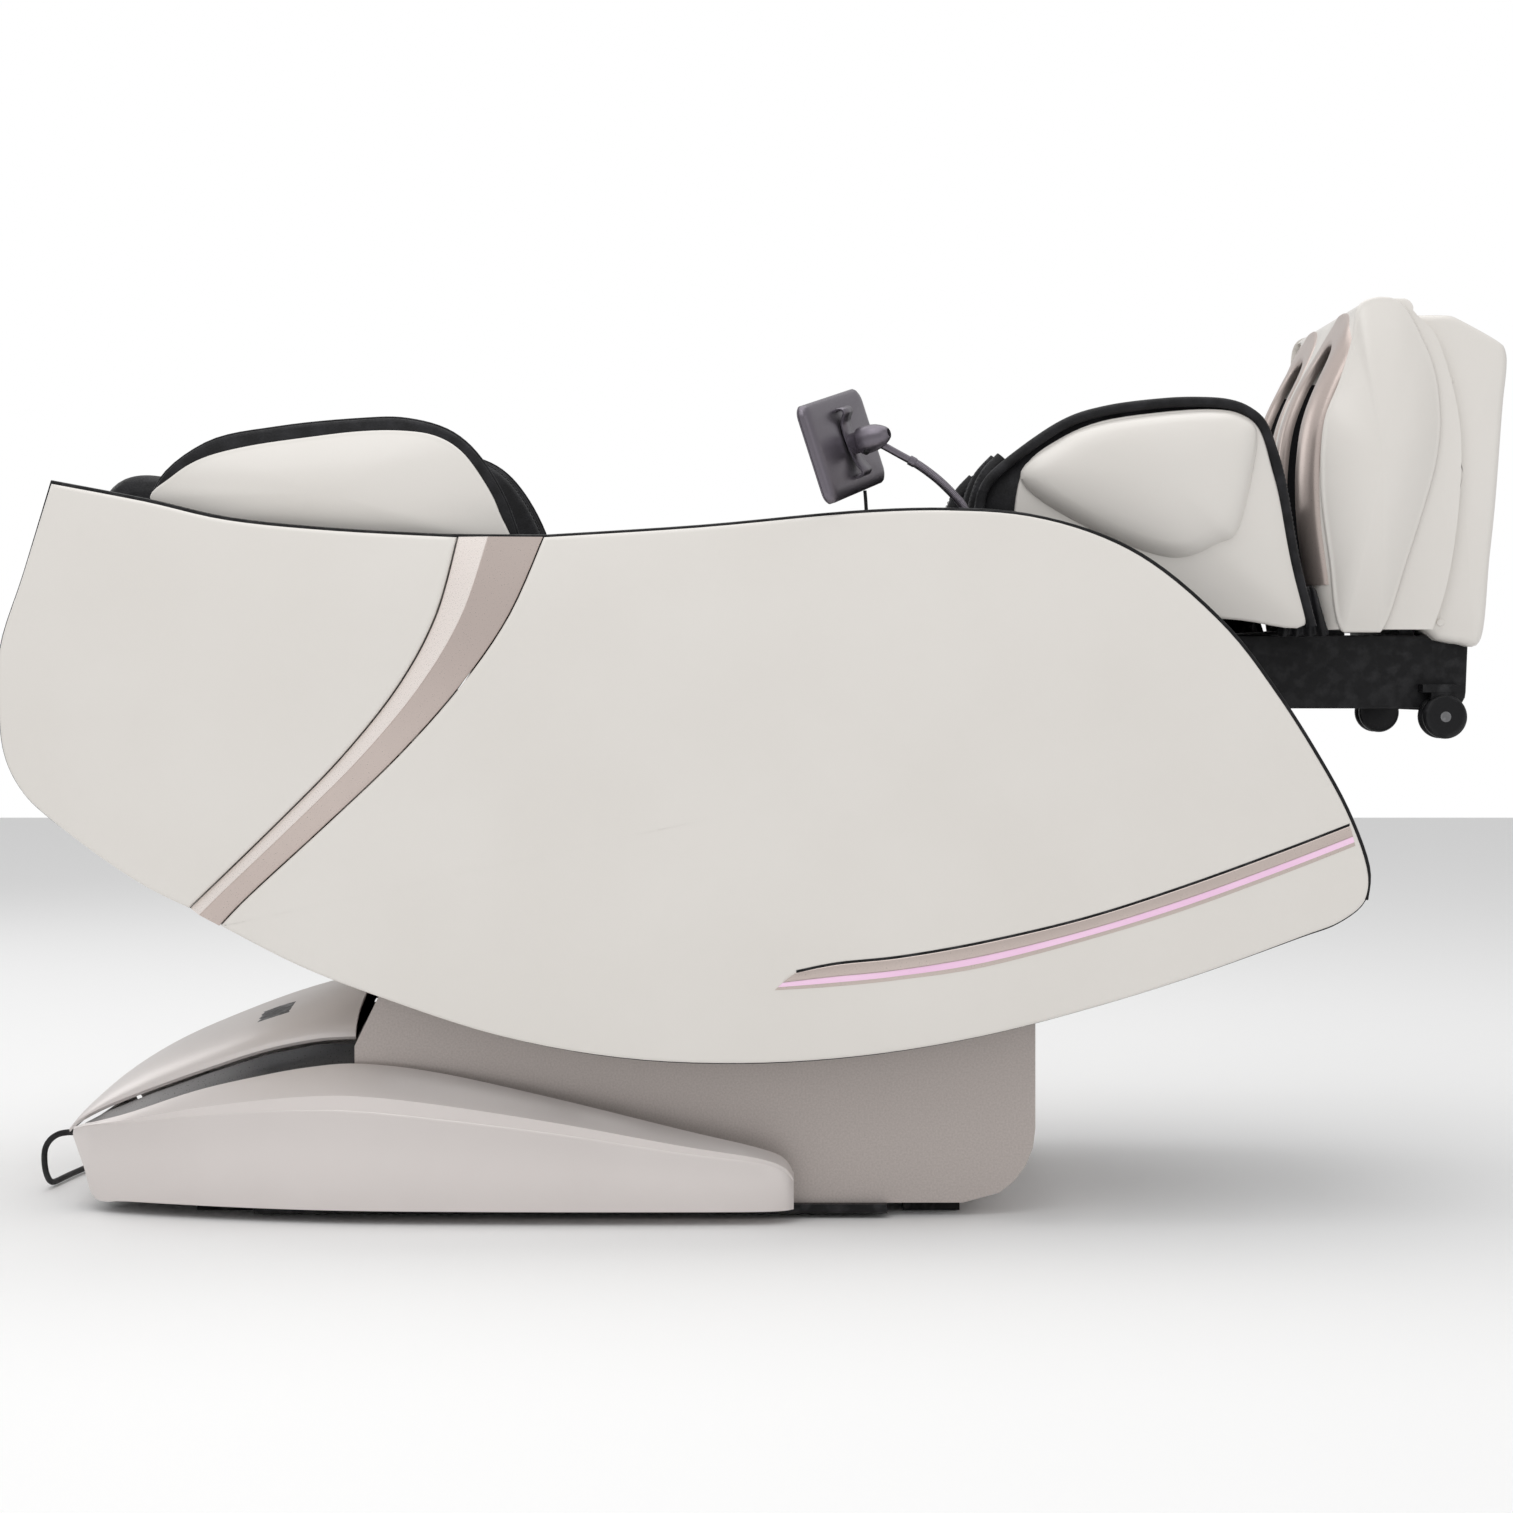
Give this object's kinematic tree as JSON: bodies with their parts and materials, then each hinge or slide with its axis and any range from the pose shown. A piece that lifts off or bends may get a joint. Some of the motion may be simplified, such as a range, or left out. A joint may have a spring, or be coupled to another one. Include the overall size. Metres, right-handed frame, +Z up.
{
  "type": "massage chair",
  "caption": "Zero-gravity massage chair with a tilting seat-and-back shell, lifting leg rest, sliding foot massager and gooseneck tablet.",
  "frame": {"origin": "floor level under the middle of the chair's length and width", "axes": "+X from the head to the feet, +Y to the occupant's left, +Z up"},
  "size_m": [1.8955, 0.7627, 1.1583],
  "materials": {
    "pearl_white": "satin pearl lacquer",
    "champagne": "satin metallic",
    "base_silver": "metallic lacquer",
    "tower_paint": "fine textured",
    "groove_gloss": "gloss",
    "black_leather": "fine grain with stitching",
    "black_fabric": "knit",
    "black_plastic": "moulded",
    "rubber": "matte",
    "dark_steel": "powder coat",
    "bright_steel": "turned",
    "grey_plastic": "moulded",
    "gunmetal": "satin metallic",
    "cable_jacket": "matte",
    "light_lens": "frosted, lit from behind"
  },
  "bodies": {
    "base": {"base_frame": "dark_steel", "base_skirt": "black_plastic", "base_tower": "tower_paint", "base_hump_cover": "base_silver", "base_tail_cover": "base_silver", "base_fairing_left": "base_silver", "base_fairing_right": "base_silver", "base_grooves": "groove_gloss", "rubber_feet": "rubber", "rear_axle": "bright_steel", "mains_strain_relief": "cable_jacket", "mains_lead": "cable_jacket", "mains_lead_coil": "cable_jacket", "mains_plug": "cable_jacket", "electronics_box": "grey_plastic", "tilt_pivot_pins": "bright_steel"},
    "rear_wheel_left": {"rear_wheel_left": "black_plastic"},
    "rear_wheel_right": {"rear_wheel_right": "black_plastic"},
    "power_switch": {"power_rocker": "black_plastic"},
    "tilt_tube": {"tilt_actuator_tube": "dark_steel"},
    "tilt_rod": {"tilt_actuator_rod": "bright_steel"},
    "seat_body": {"body_frame": "dark_steel", "side_panel_left": "pearl_white", "side_panel_right": "pearl_white", "accent_strip_left": "champagne", "accent_strip_right": "champagne", "rear_panel_left": "pearl_white", "rear_panel_right": "pearl_white", "back_shell": "pearl_white", "edge_trims": "black_plastic", "light_trims": "champagne", "light_lenses": "light_lens", "shoulder_wings": "pearl_white", "shoulder_pads": "black_leather", "back_cushion": "black_leather", "head_pillow": "black_leather", "seat_cushion": "black_leather", "arm_cushions": "black_leather", "track_rails": "dark_steel", "gooseneck": "gunmetal", "tablet_cable": "cable_jacket"},
    "carriage": {"massage_carriage": "dark_steel"},
    "kneader": {"kneading_rollers": "grey_plastic"},
    "tablet": {"tablet_bracket": "gunmetal", "tablet_body": "gunmetal"},
    "leg_rest": {"leg_frame": "black_plastic", "calf_shells": "pearl_white", "calf_cushion": "black_leather", "leg_bellows": "black_leather"},
    "leg_tube": {"leg_actuator_tube": "dark_steel"},
    "leg_rod": {"leg_actuator_rod": "bright_steel"},
    "foot_unit": {"foot_front_shell": "pearl_white", "foot_slot_bezels": "champagne", "foot_slot_liners": "black_fabric", "foot_side_covers": "pearl_white", "foot_back_cover": "pearl_white", "foot_undercarriage": "black_plastic"},
    "sole_rollers": {"sole_rollers": "grey_plastic"},
    "foot_caster_left": {"foot_caster_left": "black_plastic"},
    "foot_caster_right": {"foot_caster_right": "black_plastic"}
  },
  "joints": [
    {"name": "tilt", "type": "hinge", "parent": "base", "child": "seat_body", "pos_m": [-0.07, 0, 0.398], "axis": [0, 1, 0], "range_deg": [0, 24]},
    {"name": "leg_lift", "type": "hinge", "parent": "seat_body", "child": "leg_rest", "pos_m": [0.355, 0, 0.721], "axis": [0, 1, 0], "range_deg": [0, 28]},
    {"name": "foot_extend", "type": "slide", "parent": "leg_rest", "child": "foot_unit", "axis": [0.9976, 0, -0.0698], "range_m": [-0.02, 0.05], "deforming": ["leg_bellows"]},
    {"name": "carriage_travel", "type": "slide", "parent": "seat_body", "child": "carriage", "axis": [0.9285, 0, -0.3714], "range_m": [-0.12, 0.26]},
    {"name": "kneading_spin", "type": "hinge", "parent": "carriage", "child": "kneader", "pos_m": [-0.59417, 0, 0.61657], "axis": [0, 1, 0], "continuous": true},
    {"name": "tablet_tilt", "type": "hinge", "parent": "seat_body", "child": "tablet", "pos_m": [0.13, -0.303, 0.968], "axis": [0.3886, 0.8973, 0.2093], "range_deg": [-12, 12], "deforming": ["tablet_cable"]},
    {"name": "tilt_actuator_swing", "type": "hinge", "parent": "base", "child": "tilt_tube", "pos_m": [-0.33, 0, 0.09], "axis": [0, 1, 0], "range_deg": [-1, 9.7]},
    {"name": "tilt_actuator_stroke", "type": "slide", "parent": "tilt_tube", "child": "tilt_rod", "axis": [0.8443, 0, 0.5358], "range_m": [-0.0657, 0.002]},
    {"name": "leg_actuator_swing", "type": "hinge", "parent": "seat_body", "child": "leg_tube", "pos_m": [0, 0, 0.4], "axis": [0, 1, 0], "range_deg": [-1, 0.42]},
    {"name": "leg_actuator_stroke", "type": "slide", "parent": "leg_tube", "child": "leg_rod", "axis": [0.8682, 0, 0.4961], "range_m": [-0.053, 0.002]},
    {"name": "sole_roller_spin", "type": "hinge", "parent": "foot_unit", "child": "sole_rollers", "pos_m": [0.834, 0, 0.862], "axis": [0, 1, 0], "continuous": true},
    {"name": "rear_wheel_left_spin", "type": "hinge", "parent": "base", "child": "rear_wheel_left", "pos_m": [-0.826, 0.177, 0.033], "axis": [0, 1, 0], "continuous": true},
    {"name": "rear_wheel_right_spin", "type": "hinge", "parent": "base", "child": "rear_wheel_right", "pos_m": [-0.826, -0.177, 0.033], "axis": [0, 1, 0], "continuous": true},
    {"name": "foot_caster_left_spin", "type": "hinge", "parent": "foot_unit", "child": "foot_caster_left", "pos_m": [0.866, 0.186, 0.624], "axis": [0, 1, 0], "continuous": true},
    {"name": "foot_caster_right_spin", "type": "hinge", "parent": "foot_unit", "child": "foot_caster_right", "pos_m": [0.866, -0.186, 0.624], "axis": [0, 1, 0], "continuous": true},
    {"name": "power_rocker_press", "type": "hinge", "parent": "base", "child": "power_switch", "pos_m": [-0.867, 0.05, 0.058], "axis": [0, 1, 0], "range_deg": [-7, 7]}
  ],
  "couplings": [
    {"joint": "tilt_actuator_swing", "follows": "tilt", "ratio": 0.36241},
    {"joint": "tilt_actuator_stroke", "follows": "tilt", "m_per_rad": -0.1498},
    {"joint": "leg_actuator_swing", "follows": "leg_lift", "ratio": -0.02066},
    {"joint": "leg_actuator_stroke", "follows": "leg_lift", "m_per_rad": -0.10239}
  ]
}
